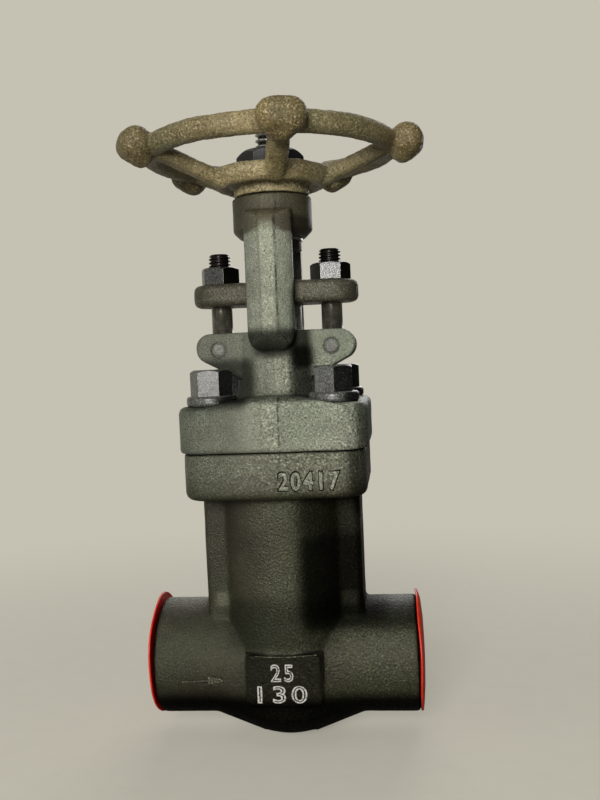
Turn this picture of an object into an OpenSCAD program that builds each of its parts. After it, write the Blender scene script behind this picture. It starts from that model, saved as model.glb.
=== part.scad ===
// Bellows seal globe valve: forged, bolted bonnet, outside screw and yoke, socket weld ends.
// Origin at the middle of the inlet socket's mouth, flow along +X, stem along +Z, front -Y.
// All sizes in millimetres. At rest the valve is closed.

/* [Pipe run] */
// Length from socket face to socket face
face_to_face = 111; // [104:1:124]
// Outside diameter of the pipe run
run_d = 48.8; // [46:0.2:52]
// Bore of each socket, for a nominal one inch pipe
socket_d = 33.9; // [33.5:0.1:34.5]
// Depth of each socket
socket_depth = 13; // [11:0.5:15]
// Diameter of the slanted flow ports
port_d = 17; // [14:0.5:18]
// Bevel round the outer edge of each end
end_bevel = 0.8; // [0.4:0.1:1.2]

/* [Body barrel] */
// Diameter of the upright barrel
barrel_d = 56; // [54:0.5:60]
// Bore of the bellows chamber inside the barrel
chamber_d = 38; // [36:0.5:41]
// Depth of the domed bottom below the pipe axis
bottom_drop = 33; // [31:0.2:36]
// Radius of the domed bottom
bottom_r = 36; // [32:0.5:40]
// Slope of the belly where it leaves the pipe run
belly_slope = 21.8; // [18:0.2:23]
// Where the belly leaves the pipe run, from the stem axis
belly_reach = 32; // [28:0.5:34]
// Depth of the sump under the seat, below the pipe axis
sump_drop = 24; // [22:0.5:27]
// Width over the two side ribs
rib_span = 66.6; // [62:0.2:70]
// Thickness of the side ribs
rib_t = 30; // [24:0.5:34]
// Rounding of the ribs' upright edges
rib_edge_r = 3.5; // [2:0.5:6]
// Fillet between the ribs and the barrel
rib_fillet = 3.5; // [1:0.5:5]

/* [Number pad] */
// Width of the flat pad on the front of the body
pad_w = 31.2; // [26:0.2:34]
// Height of the pad
pad_h = 21.7; // [18:0.1:24]
// Height of the pad's top edge above the pipe axis
pad_top = 8.1; // [6:0.1:9]
// How far the pad stands in front of the barrel
pad_stand = 0.4; // [0.2:0.1:1]
// Corner rounding of the pad
pad_corner_r = 2.2; // [1:0.1:4]

/* [Flanges] */
// Height of the body flange's underside above the pipe axis
body_flange_z = 72.7; // [70:0.5:80]
// Thickness of the body flange
body_flange_t = 19.2; // [17:0.2:23]
// Width across the square body flange
body_flange_w = 74.4; // [72:0.2:78]
// Width across the square bonnet flange
bonnet_flange_w = 76.8; // [74:0.2:80]
// Thickness of the bonnet flange at its crown
bonnet_flange_t = 22; // [20:0.2:24]
// Corner radius of both flanges
flange_corner_r = 12; // [9:0.5:15]
// Radius of the crown that runs over the bonnet flange from front to back
crown_r = 100; // [80:5:140]
// Rounding of the flanges' free edges
flange_edge_r = 3; // [1.5:0.5:4]
// Rounding of the crown's front and back edges
crown_edge_r = 5.6; // [4:0.2:6]
// Bevel of the flange edges at the joint face
joint_bevel = 0.8; // [0.4:0.1:1.2]

/* [Bonnet screws] */
// Screw pitch along each side of the flange
screw_pitch = 50; // [48:0.5:52]
// Thread size of the bonnet screws
screw_d = 10; // [8:0.5:11]
// Hexagon of the bonnet screws, across flats
screw_af = 15; // [14:0.5:17]
// Height of the hexagon above its collar
screw_head_h = 10.6; // [8:0.2:12]
// Diameter of the collar under the hexagon
collar_d = 20.5; // [18:0.5:22]
// Thickness of the collar
collar_t = 4.2; // [3.2:0.1:4.8]
// Depth of the spot faces below the crown
spot_drop = 3.3; // [2.6:0.1:4]
// Length of thread in the body flange
screw_grip = 15; // [12:0.5:16]

/* [Neck and lugs] */
// Diameter of the bonnet neck
neck_d = 36; // [34:0.5:37]
// Fillet at the foot of the neck
neck_fillet = 5; // [2:0.5:6]
// Height of the stuffing box rim above the flange joint
box_rise = 48.6; // [47:0.2:54]
// Distance between the two eye bolts
eye_pitch = 47.8; // [46:0.2:50]
// How far the eye bolt pins lie below the stuffing box rim
pin_drop = 7.2; // [6.5:0.1:8]
// Radius of the lugs' round ends
lug_end_r = 6.4; // [6:0.1:7]
// Centre of the lugs' round ends, from the stem axis
lug_reach = 27.3; // [26:0.1:29]
// Thickness of the lugs, front to back
lug_t = 23; // [20:0.5:26]
// How far the lugs' lower edge drops where it meets the neck
lug_fall = 19.5; // [17:0.5:21]
// Width of the slot that takes the eye bolt
lug_slot = 10; // [9.8:0.1:11]

/* [Yoke] */
// Height of the yoke head's top above the flange joint
yoke_rise = 105.4; // [104:0.2:108]
// Diameter of the yoke head
head_d = 34; // [32:0.5:38]
// Height of the yoke head
head_h = 17.2; // [15:0.2:18]
// Bevel under the yoke head
head_bevel = 3.2; // [1.5:0.1:4]
// Width of each yoke arm
arm_w = 19.6; // [16:0.2:22]
// Distance between the arms' inner faces
arm_gap = 31; // [30:0.5:33]
// Distance from the stem axis to the arms' outer faces
arm_reach = 24.3; // [23:0.1:27]
// Radius of the arms' crowned outer faces
arm_crown_r = 14; // [12:0.5:18]
// How far the arms' shoulders lie below the yoke head's top
arm_top_drop = 7.2; // [6:0.2:9]
// How far the arms' lower ends reach below the stuffing box rim
arm_foot_drop = 8.6; // [7:0.2:10]
// Radius of the bend at the arms' shoulders
arm_shoulder_r = 6; // [4:0.5:8]
// Radius of the bend at the arms' feet
arm_foot_r = 8; // [5:0.5:9]
// Rounding inside the corners of the yoke window
window_r = 4; // [2:0.5:6]
// Width of the parting line strip left by the forging die
strip_w = 6; // [4:0.2:8]
// How far the parting line strip stands proud
strip_stand = 0.35; // [0.2:0.05:0.6]

/* [Stem] */
// Diameter of the stem
stem_d = 12; // [11:0.2:12.4]
// Lift of the disc from closed to open
lift = 10; // [7:0.5:12]
// How far the stem stands above the yoke head when closed
stem_stand = 37.5; // [33:0.5:42]
// Diameter of the back seat shoulder
shoulder_d = 17; // [16:0.5:18]
// Length of the back seat shoulder
shoulder_h = 5; // [3:0.5:7]
// Width of the keyway and its key
key_w = 3; // [2:0.2:3.6]
// Length of the key
key_h = 8; // [6:0.5:9]
// Depth of the keyway in the stem
key_depth = 1.8; // [1.2:0.1:2.2]

/* [Seat and disc] */
// Height of the seat face above the pipe axis
seat_z = 2; // [1:0.2:3]
// Outside diameter of the seat ring
seat_od = 25; // [24:0.2:26]
// Bore of the seat ring
seat_bore = 17; // [15:0.2:18]
// Height of the seat ring
seat_h = 6; // [5:0.2:6.4]
// Diameter of the disc
disc_d = 23; // [21:0.5:25]
// Height of the disc
disc_h = 12; // [11:0.5:14]
// Length of the disc's plug that enters the seat
plug_h = 2.5; // [1.5:0.1:3]
// Hexagon of the disc nut, across flats
disc_nut_af = 18; // [17:0.5:19]
// Height of the disc nut
disc_nut_h = 7; // [5:0.5:9]
// Diameter of the stem's button inside the disc
button_d = 10; // [9:0.5:11]
// Height of the stem's button
button_h = 4; // [3:0.5:5]

/* [Bellows] */
// Outside diameter of the bellows
bellows_od = 32; // [30:0.5:34]
// Inside diameter of the bellows
bellows_id = 21; // [19.5:0.5:23]
// Number of convolutions
convolutions = 12; // [8:1:14]
// Wall of the bellows, all plies together
bellows_wall = 0.6; // [0.4:0.1:0.8]
// Height of the welded ring at the foot of the bellows
foot_ring_h = 4; // [3:0.5:6]
// Gap between the disc nut and the foot ring
foot_gap = 3; // [1:0.5:5]
// Diameter of the ring clamped between the flanges
clamp_ring_d = 48; // [44:0.5:50]
// Thickness of the clamped ring
clamp_ring_t = 3.5; // [2.5:0.5:4.5]
// Length of the clamped ring's neck
clamp_neck_h = 4; // [2:0.5:6]
// Thickness of the bonnet gasket
gasket_t = 1.5; // [1:0.1:2.5]
// Width of the gasket's face
gasket_w = 4.5; // [3:0.5:6]

/* [Stuffing box] */
// Bore of the stuffing box
box_d = 22; // [20:0.5:23]
// Depth of the stuffing box
box_depth = 22.5; // [21:0.5:24]
// Thickness of the washer under the packing
washer_t = 1.5; // [1:0.1:2]
// Number of packing rings
ring_count = 4; // [3:1:4]
// Height of each packing ring
ring_h = 3.9; // [3.4:0.1:4]
// Parting between one packing ring and the next
ring_split = 0.05; // [0.02:0.01:0.1]
// Diameter of the back seat bush
bush_d = 20; // [19:0.5:22]
// Height of the back seat bush
bush_h = 6; // [4:0.5:8]

/* [Gland] */
// Height of the gland flange's underside above the stuffing box rim
gland_rise = 11.4; // [10:0.1:14]
// Thickness of the gland flange
gland_t = 9.6; // [7:0.2:11]
// Length of the gland flange
gland_len = 71.2; // [69:0.2:74]
// Radius of the gland flange's ends
gland_end_r = 11; // [10:0.5:12]
// Width of the gland flange at the stem
gland_mid_w = 27; // [25:0.5:28]
// Rounding of the gland flange's edges
gland_edge_r = 2.6; // [1:0.2:3.2]
// Diameter of the eye bolts' shanks
shank_d = 9; // [8:0.2:9]
// Thread diameter of the eye bolts
eye_thread_d = 9.5; // [8:0.1:9.6]
// Outside diameter of the eye
eye_d = 13; // [12:0.2:13.4]
// Width of the eye along its pin
eye_t = 9.4; // [9.2:0.1:9.6]
// Diameter of the eye bolt pins
pin_d = 6.3; // [5:0.1:6.6]
// Length of the eye bolts from the pin to the tip
eye_len = 41.4; // [39:0.2:44]
// Hexagon of the gland nuts, across flats
gland_nut_af = 15; // [14:0.5:16]
// Height of the gland nuts
gland_nut_h = 7.4; // [6:0.2:9]

/* [Yoke sleeve] */
// Diameter of the sleeve's journal in the yoke head
journal_d = 19; // [18:0.5:21]
// Diameter of the sleeve's shoulder
sleeve_flange_d = 24; // [22:0.5:26]
// Height of the sleeve's shoulder
sleeve_flange_h = 4; // [3:0.5:6]
// Thickness of the thrust washer
thrust_t = 1.2; // [0.8:0.1:2]
// Hexagon that drives the handwheel, across flats
drive_af = 16.4; // [16:0.1:17]
// Thread on the sleeve for the wheel nut
sleeve_thread_d = 16; // [15.4:0.1:16.2]
// Hexagon of the wheel nut, across flats
wheel_nut_af = 25; // [22:0.5:28]
// Height of the wheel nut
wheel_nut_h = 8.6; // [7:0.2:11]

/* [Handwheel] */
// Radius of the rim's centre line
rim_r = 50.8; // [48:0.2:56]
// Diameter of the rim's bar
rim_bar_d = 9; // [7:0.1:10]
// Height of the rim's centre above the yoke head
rim_rise = 19.9; // [18:0.1:22]
// Number of spokes
spoke_count = 5; // [4:1:6]
// Direction of the first spoke, seen from above
spoke_turn = -78; // [-90:1:-60]
// Width of the spokes
spoke_w = 9; // [7:0.1:11]
// Height of the spokes
spoke_h = 6.4; // [5:0.1:7.5]
// Height of the spokes' inner ends above the yoke head
spoke_root_rise = 6.4; // [5.4:0.2:8]
// How far the spokes' outer ends lie below the rim's centre
spoke_sag = 1.5; // [0.5:0.1:2.5]
// Diameter of the hub plate
plate_d = 51.2; // [48:0.2:54]
// Thickness of the hub plate's edge
plate_t = 5.3; // [4:0.1:6]
// Height of the hub above the yoke head
hub_rise = 12; // [11:0.2:13]
// Diameter of the hub's lower boss
boss_d = 32; // [29:0.5:34]
// Height of the hub's lower boss
boss_h = 4.5; // [3.5:0.1:5]
// Width of each knob along the rim
knob_w = 19.4; // [16:0.2:21]
// Radius of each knob's upper lobes
knob_r = 6.8; // [6:0.1:7.4]
// Radius of each knob's lower lobe
knob_foot_r = 5.2; // [4:0.1:5.6]
// Distance from the stem axis to the middle of a knob
knob_reach = 58.8; // [55:0.2:61]
// How far the knobs' lower lobe lies nearer to the stem than the upper ones
knob_lean = 2.2; // [0:0.1:3]
// How far the knobs' lower lobe lies below the upper ones
knob_fall = 4; // [3:0.2:5]

/* [End caps] */
// Outside diameter of the plastic end caps
cap_d = 53.2; // [53:0.1:54]
// Wall of the end caps
cap_wall = 0.8; // [0.6:0.1:1]
// Height of the end caps' dome
cap_dome = 1.6; // [1.2:0.1:3]
// Length of the skirt over the pipe run
cap_skirt = 0.6; // [0.4:0.1:2]
// How far the caps' discs stand off the socket faces
cap_stand = 0.6; // [0.4:0.1:1.4]
// How far the loose caps ride above the pipe axis
cap_ride = 0.6; // [0:0.1:0.8]

/* [Fits] */
// Radial gap of parts that slide or turn in each other
run_gap = 0.1; // [0.05:0.05:0.2]
// Radial gap round a fastener in its clearance hole
bolt_gap = 0.5; // [0.3:0.1:0.8]
// Gap between faces that turn or slide past each other
face_gap = 0.3; // [0.2:0.05:0.5]
// Gap between an end cap and the socket face
cap_gap = 0.1; // [0.05:0.05:0.3]

/* [Hidden] */

$fn = 64;
eps = 0.02;

run_half = face_to_face / 2;
run_r = run_d / 2;
barrel_r = barrel_d / 2;
chamber_r = chamber_d / 2;
stem_r = stem_d / 2;
port_r = port_d / 2;
joint_z = body_flange_z + body_flange_t;
crown_z = joint_z + bonnet_flange_t;
neck_root_z = joint_z + bonnet_flange_t / 2;
spot_z = crown_z - spot_drop;
box_top_z = joint_z + box_rise;
box_floor_z = box_top_z - box_depth;
pin_z = box_top_z - pin_drop;
head_top_z = joint_z + yoke_rise;
head_bottom_z = head_top_z - head_h;
seat_under_z = seat_z - seat_h;
disc_top_z = seat_z + disc_h;
disc_nut_top_z = disc_top_z + disc_nut_h;
foot_ring_z = disc_nut_top_z + foot_gap;
bellows_z = foot_ring_z + foot_ring_h;
clamp_recess = clamp_ring_t + gasket_t;
clamp_z = joint_z - clamp_recess;
bellows_top_z = clamp_z - clamp_neck_h;
shoulder_top_z = joint_z - lift - face_gap;
packing_z = box_floor_z + washer_t;
packing_top_z = packing_z + ring_count * ring_h;
gland_z = box_top_z + gland_rise;
gland_top_z = gland_z + gland_t;
key_z = joint_z + bush_h + 0.5;
hub_z = head_top_z + face_gap;
hub_top_z = head_top_z + hub_rise;
rim_z = head_top_z + rim_rise;
thrust_top_z = head_bottom_z - run_gap;
sleeve_shoulder_z = thrust_top_z - thrust_t;
sleeve_top_z = hub_top_z + wheel_nut_h - 0.2;
stem_top_z = head_top_z + stem_stand;
gland_edge = gland_len / 2 - gland_end_r;
screw_spots = [[-1, -1], [1, -1], [1, 1], [-1, 1]];
screw_turns = [2, 35, 50, 14];
nut_turns = [-11, 4];
nut_bevel = 0.9;
belly_start = belly_reach - run_r * tan(belly_slope / 2);
fillet_bite = 0.06;

black_steel = [0.16, 0.16, 0.14];
grey_steel = [0.30, 0.31, 0.27];
dark_steel = [0.10, 0.10, 0.11];
bright_steel = [0.66, 0.65, 0.62];
gold_iron = [0.42, 0.36, 0.22];
graphite = [0.18, 0.18, 0.20];
bronze = [0.62, 0.46, 0.24];
cap_red = [0.86, 0.10, 0.05];

// Helpers

module at_stem() {
  translate([run_half, 0, 0]) children();
}

module both_sides() {
  children();
  mirror([1, 0, 0]) children();
}

module front_and_back() {
  children();
  mirror([0, 1, 0]) children();
}

// A round bar along X between two distances
module along_x(r, x0, x1) {
  translate([x0, 0, 0]) rotate([0, 90, 0]) cylinder(r = r, h = x1 - x0);
}

// A flat outline, drawn as a front view in X and Z, given depth along Y
module front_view(y0, y1) {
  translate([0, y1, 0]) rotate([90, 0, 0]) linear_extrude(y1 - y0) children();
}

// A flat outline, drawn as a side view in Y and Z, given width along X
module side_view(x0, x1) {
  translate([x0, 0, 0]) rotate([90, 0, 90]) linear_extrude(x1 - x0) children();
}

module round_rect(w, h, r) {
  translate([-w / 2 + r, -h / 2]) square([w - 2 * r, h]);
  translate([-w / 2, -h / 2 + r]) square([w, h - 2 * r]);
  for (x = [-1, 1], y = [-1, 1])
    translate([x * (w / 2 - r), y * (h / 2 - r)]) circle(r);
}

// A hexagon with a flat side that faces -Y
module hexagon(af) {
  circle(d = af / cos(30), $fn = 6);
}

// A hexagon prism with its upper corners turned off
module hex_block(af, h, bevel) {
  ac = af / cos(30);
  intersection() {
    linear_extrude(h) hexagon(af);
    union() {
      cylinder(d = ac + 1, h = h - bevel);
      translate([0, 0, h - bevel - eps]) cylinder(d1 = ac, d2 = af - bevel, h = bevel + eps);
    }
  }
}

module ring(od, id, z0, z1) {
  difference() {
    translate([0, 0, z0]) cylinder(d = od, h = z1 - z0);
    translate([0, 0, z0 - 1]) cylinder(d = id, h = z1 - z0 + 2);
  }
}

// A square plate with round corners, rounded along one face and bevelled along the other
module flange_plate(w, t, edge_r, bevel) {
  c = w / 2 - flange_corner_r;
  r = flange_corner_r;
  hull()
    for (x = [-c, c], y = [-c, c])
      translate([x, y, 0]) {
        cylinder(r = r - bevel, h = t - edge_r, $fn = 48);
        translate([0, 0, bevel]) cylinder(r = r, h = t - edge_r - bevel, $fn = 48);
        for (a = [22.5, 45, 67.5, 90])
          translate([0, 0, t - edge_r + edge_r * sin(a) - eps])
            cylinder(r = r - edge_r * (1 - cos(a)), h = eps, $fn = 48);
      }
}

// Body

module barrel() {
  dome_z = bottom_r - bottom_drop;
  translate([0, 0, dome_z]) cylinder(r = barrel_r, h = body_flange_z - dome_z + joint_bevel);
  intersection() {
    translate([0, 0, dome_z]) sphere(r = bottom_r);
    translate([0, 0, -bottom_drop - 1]) cylinder(r = barrel_r, h = bottom_drop + 1 + dome_z);
  }
}

module belly() {
  both_sides()
    translate([-belly_start, 0, 0])
      rotate([0, 90 + belly_slope, 0])
        cylinder(r = run_r, h = belly_start / cos(belly_slope) - 2.5);
}

// Plan of the two ribs, with a fillet at each side where they leave the barrel
module rib_plan() {
  reach = barrel_r + rib_fillet - fillet_bite;
  fillet_y = rib_t / 2 + rib_fillet - fillet_bite;
  fillet_x = sqrt(reach * reach - fillet_y * fillet_y);
  touch = barrel_r / reach;
  round_rect(rib_span, rib_t, rib_edge_r);
  for (x = [-1, 1], y = [-1, 1])
    difference() {
      polygon([
        [x * barrel_r / 2, y * rib_t / 4], [x * fillet_x, y * rib_t / 4],
        [x * fillet_x, y * rib_t / 2], [x * fillet_x * touch, y * fillet_y * touch]
      ]);
      translate([x * fillet_x, y * fillet_y]) circle(rib_fillet);
    }
}

module ribs() {
  translate([0, 0, run_r / 2]) linear_extrude(body_flange_z - run_r / 2 + joint_bevel) rib_plan();
}

module number_pad() {
  face_y = barrel_r + pad_stand;
  translate([0, 0, pad_top - pad_h / 2])
    front_view(-face_y, -barrel_r / 2) round_rect(pad_w, pad_h, pad_corner_r);
}

module pipe_run() {
  both_sides()
    translate([-run_half, 0, 0]) rotate([0, 90, 0]) {
      cylinder(r1 = run_r - end_bevel, r2 = run_r, h = end_bevel);
      translate([0, 0, end_bevel - eps]) cylinder(r = run_r, h = run_half - end_bevel + 2 * eps);
    }
}

// The slanted way from a socket to the space under or over the seat
module flow_port(from_x, to_x, to_z) {
  run = to_x - from_x;
  angle = atan2(to_z, abs(run));
  length = sqrt(run * run + to_z * to_z);
  translate([from_x, 0, 0])
    rotate([0, run > 0 ? 90 - angle : angle - 90, 0]) cylinder(r = port_r, h = length);
}

module body_passages() {
  floor_x = run_half - socket_depth;
  sump_mid = (seat_under_z - sump_drop) / 2;
  both_sides() along_x(socket_d / 2, -run_half - 1, -floor_x);
  flow_port(-floor_x - eps, 0, sump_mid - port_r / 2);
  flow_port(floor_x + eps, chamber_r / 2, seat_z + port_r + 3);
  translate([0, 0, seat_under_z]) cylinder(d = seat_od, h = seat_h + 1);
  translate([0, 0, -sump_drop]) cylinder(d = seat_bore, h = sump_drop + seat_z);
  translate([0, 0, seat_z]) cylinder(r = chamber_r, h = joint_z - seat_z + 1);
  translate([0, 0, clamp_z]) cylinder(d = clamp_ring_d + 2 * run_gap, h = clamp_recess + 1);
  for (s = screw_spots)
    translate([s.x * screw_pitch / 2, s.y * screw_pitch / 2, joint_z - screw_grip - 1.5])
      cylinder(d = screw_d, h = screw_grip + 3);
}

module body() {
  color(black_steel)
    at_stem() difference() {
      union() {
        pipe_run();
        barrel();
        belly();
        ribs();
        number_pad();
        translate([0, 0, joint_z]) mirror([0, 0, 1])
          flange_plate(body_flange_w, body_flange_t, flange_edge_r, joint_bevel);
      }
      body_passages();
    }
}

module seat_ring() {
  color(bronze) at_stem() ring(seat_od, seat_bore, seat_under_z, seat_z);
}

// Bonnet and yoke

// The raised crown over the flange: round from side to side, soft at its front and back edges
module flange_crown() {
  inset = 0.1;
  half = screw_pitch / 2 + 5;
  foot_z = joint_z + bonnet_flange_t / 2;
  edge_r = min(crown_edge_r, bonnet_flange_t / 4);
  intersection() {
    translate([0, 0, crown_z - crown_r])
      rotate([90, 0, 0]) cylinder(r = crown_r, h = 2 * bonnet_flange_w, center = true);
    side_view(-half, half)
      translate([0, foot_z + bonnet_flange_t / 4])
        round_rect(bonnet_flange_w - 2 * inset, bonnet_flange_t / 2 + 2 * inset, edge_r);
  }
}

module bonnet_flange() {
  flat_t = spot_z - joint_z + 0.15;
  translate([0, 0, joint_z]) flange_plate(bonnet_flange_w, flat_t, flange_edge_r, joint_bevel);
  flange_crown();
  front_and_back()
    translate([0, 0, joint_z + 2 * joint_bevel])
      front_view(-bonnet_flange_w / 2 - strip_stand, -bonnet_flange_w / 4)
        translate([-strip_w / 2, 0]) square([strip_w, bonnet_flange_t - flange_edge_r - 2 * joint_bevel]);
}

// Half section of the neck, which flares into the flange
module neck_section(r) {
  fillet_z = crown_z - 0.3 * neck_fillet;
  difference() {
    union() {
      translate([0, neck_root_z]) square([r, box_top_z - neck_root_z]);
      translate([0, neck_root_z]) square([r + neck_fillet, fillet_z + neck_fillet - neck_root_z]);
    }
    translate([r + neck_fillet, fillet_z + neck_fillet]) circle(neck_fillet);
  }
}

module neck() {
  rotate_extrude() neck_section(neck_d / 2);
  intersection() {
    rotate_extrude() neck_section(neck_d / 2 + strip_stand);
    translate([-strip_w / 2, -neck_d, neck_root_z]) cube([strip_w, 2 * neck_d, pin_z - neck_root_z]);
  }
}

// Front view of one lug, which holds an eye bolt's pin
module lug_outline() {
  root = neck_d / 4;
  foot = 0.88 * neck_d / 2;
  end_z = box_top_z - lug_end_r;
  tilt = atan2(lug_fall - 2 * lug_end_r, lug_reach - foot);
  polygon([
    [root, box_top_z],
    [lug_reach, box_top_z],
    [lug_reach + lug_end_r * sin(tilt), end_z - lug_end_r * cos(tilt)],
    [foot, box_top_z - lug_fall],
    [root, box_top_z - lug_fall]
  ]);
  translate([lug_reach, end_z]) circle(lug_end_r);
}

module lugs() {
  both_sides() front_view(-lug_t / 2, lug_t / 2) lug_outline();
}

// The slots milled through the lugs, where the eye bolts stand
module lug_slots() {
  depth = lug_fall + face_gap;
  both_sides()
    translate([eye_pitch / 2 - eye_d / 2 - face_gap, -lug_slot / 2, box_top_z - depth])
      cube([lug_reach + lug_end_r, lug_slot, 2 * depth]);
}

module yoke_head() {
  translate([0, 0, head_bottom_z + head_bevel]) cylinder(d = head_d, h = head_h - head_bevel);
  translate([0, 0, head_bottom_z])
    cylinder(d1 = head_d - 2 * head_bevel, d2 = head_d, h = head_bevel + eps);
}

// Side view of the front arm: a bar with a round shoulder and a round foot
module arm_outline() {
  top = head_top_z - arm_top_drop;
  foot = box_top_z - arm_foot_drop;
  translate([-arm_reach + arm_shoulder_r, foot + arm_foot_r])
    square([arm_reach - arm_shoulder_r, top - foot - arm_foot_r]);
  translate([-arm_reach, foot + arm_foot_r])
    square([arm_reach, top - foot - arm_foot_r - arm_shoulder_r]);
  translate([-arm_reach + arm_foot_r, foot]) square([arm_reach - arm_foot_r, arm_foot_r + eps]);
  translate([-arm_reach + arm_shoulder_r, top - arm_shoulder_r]) circle(arm_shoulder_r);
  translate([-arm_reach + arm_foot_r, foot + arm_foot_r]) circle(arm_foot_r);
}

// Front view of an arm, with its lower corners rounded as a thumb
module arm_front() {
  top = head_top_z - arm_top_drop;
  foot = box_top_z - arm_foot_drop;
  corner = arm_w / 2 - 2.5;
  translate([-arm_w / 2, foot + corner]) square([arm_w, top - foot - corner]);
  translate([-arm_w / 2 + corner, foot]) square([arm_w - 2 * corner, corner + eps]);
  for (x = [-1, 1])
    translate([x * (arm_w / 2 - corner), foot + corner]) circle(corner);
}

module front_arm() {
  intersection() {
    side_view(-arm_w / 2, arm_w / 2) arm_outline();
    front_view(-arm_reach - 1, 1) arm_front();
    translate([0, -arm_reach + arm_crown_r, joint_z]) cylinder(r = arm_crown_r, h = yoke_rise);
  }
  intersection() {
    translate([0, -strip_stand, 0]) side_view(-strip_w / 2, strip_w / 2) arm_outline();
    translate([-strip_w / 2, -arm_reach - strip_stand, joint_z])
      cube([strip_w, arm_reach - arm_gap / 2 + strip_stand, yoke_rise]);
  }
}

// Side view of the open window between the arms
module window_outline() {
  translate([0, (box_top_z + head_bottom_z) / 2])
    round_rect(arm_gap, head_bottom_z - box_top_z, window_r);
}

module bonnet_cuts() {
  side_view(-head_d, head_d) window_outline();
  translate([0, 0, joint_z - 1]) cylinder(d = stem_d + 2 * bolt_gap, h = box_rise + 1);
  translate([0, 0, joint_z - 1]) cylinder(d = bush_d, h = bush_h + 1);
  translate([0, 0, box_floor_z]) cylinder(d = box_d, h = box_depth + 1);
  translate([0, 0, head_bottom_z - 1]) cylinder(d = journal_d + 2 * run_gap, h = head_h + 2);
  translate([0, -key_w / 2, key_z]) cube([stem_r + 2 * key_depth, key_w, key_h]);
  lug_slots();
  for (x = [-1, 1])
    translate([x * eye_pitch / 2, lug_t, pin_z]) rotate([90, 0, 0]) cylinder(d = pin_d, h = 2 * lug_t);
  for (s = screw_spots)
    translate([s.x * screw_pitch / 2, s.y * screw_pitch / 2, 0]) {
      translate([0, 0, joint_z - 1]) cylinder(d = screw_d + 2 * bolt_gap, h = 2 * bonnet_flange_t);
      translate([0, 0, spot_z]) cylinder(d = collar_d + 2 * bolt_gap, h = pin_z - spot_z);
    }
}

module bonnet() {
  color(grey_steel)
    at_stem() difference() {
      union() {
        bonnet_flange();
        neck();
        lugs();
        yoke_head();
        front_and_back() front_arm();
      }
      bonnet_cuts();
    }
}

module bonnet_gasket() {
  color(graphite)
    at_stem() ring(clamp_ring_d, clamp_ring_d - 2 * gasket_w, joint_z - gasket_t, joint_z);
}

// A screw with a round collar forged under its hexagon
module bonnet_screw() {
  shank = spot_z - joint_z + screw_grip;
  collar_edge = 1.4;
  translate([0, 0, -shank]) cylinder(d = screw_d, h = shank + 1);
  rotate_extrude() {
    square([collar_d / 2 - collar_edge, collar_t]);
    translate([0, collar_edge]) square([collar_d / 2, collar_t - 2 * collar_edge]);
    for (z = [collar_edge, collar_t - collar_edge])
      translate([collar_d / 2 - collar_edge, z]) circle(collar_edge);
  }
  translate([0, 0, collar_t - eps]) hex_block(screw_af, screw_head_h + eps, 1.1);
}

module bonnet_screws() {
  color(dark_steel)
    at_stem()
      for (i = [0 : 3])
        translate([screw_spots[i].x * screw_pitch / 2, screw_spots[i].y * screw_pitch / 2, spot_z])
          rotate(screw_turns[i]) bonnet_screw();
}

// Stem guides and packing

module backseat_bush() {
  color(bronze)
    at_stem() difference() {
      ring(bush_d, stem_d + 2 * run_gap, joint_z, joint_z + bush_h);
      translate([0, 0, joint_z - eps])
        cylinder(d1 = shoulder_d - 1, d2 = stem_d, h = (shoulder_d - 1 - stem_d) / 2);
    }
}

module stem_key() {
  color(bright_steel)
    at_stem()
      translate([stem_r - key_depth + face_gap, -key_w / 2, key_z])
        cube([3 * key_depth - face_gap, key_w, key_h]);
}

module packing_washer() {
  color(bright_steel)
    at_stem() ring(box_d, stem_d + 2 * run_gap, box_floor_z, box_floor_z + washer_t);
}

module packing_rings() {
  bevel = 0.3;
  top = ring_h - ring_split;
  color(graphite)
    at_stem()
      for (i = [0 : ring_count - 1])
        translate([0, 0, packing_z + i * ring_h])
          rotate_extrude()
            polygon([
              [stem_r + run_gap, 0], [box_d / 2 - bevel, 0], [box_d / 2, bevel],
              [box_d / 2, top - bevel], [box_d / 2 - bevel, top], [stem_r + run_gap, top]
            ]);
}

module gland_bush() {
  color(bright_steel)
    at_stem() ring(box_d - 2 * run_gap, stem_d + 2 * run_gap, packing_top_z, gland_z);
}

// One round station of the gland flange, with rounded edges
module gland_station(r) {
  for (a = [0, 30, 60, 90]) {
    inset = gland_edge_r * (1 - cos(a));
    rise = gland_edge_r * sin(a);
    translate([0, 0, gland_edge_r - rise])
      cylinder(r = r - inset, h = gland_t - 2 * (gland_edge_r - rise), $fn = 40);
  }
}

module gland_flange() {
  color(grey_steel)
    at_stem() translate([0, 0, gland_z]) difference() {
      hull() {
        gland_station(gland_mid_w / 2);
        for (x = [-gland_edge, gland_edge])
          translate([x, 0, 0]) gland_station(gland_end_r);
      }
      translate([0, 0, -1]) cylinder(d = stem_d + 2 * bolt_gap, h = gland_t + 2);
      for (x = [-1, 1])
        translate([x * eye_pitch / 2, 0, -1]) cylinder(d = eye_thread_d + 2 * bolt_gap, h = gland_t + 2);
    }
}

module gland_nut(side) {
  color(dark_steel)
    at_stem() translate([side * eye_pitch / 2, 0, gland_top_z])
      rotate(nut_turns[(side + 1) / 2]) difference() {
        hex_block(gland_nut_af, gland_nut_h, nut_bevel);
        translate([0, 0, -1]) cylinder(d = eye_thread_d + 2 * run_gap, h = gland_nut_h + 2);
      }
}

module gland_nut_left() {
  gland_nut(-1);
}

module gland_nut_right() {
  gland_nut(1);
}

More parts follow.
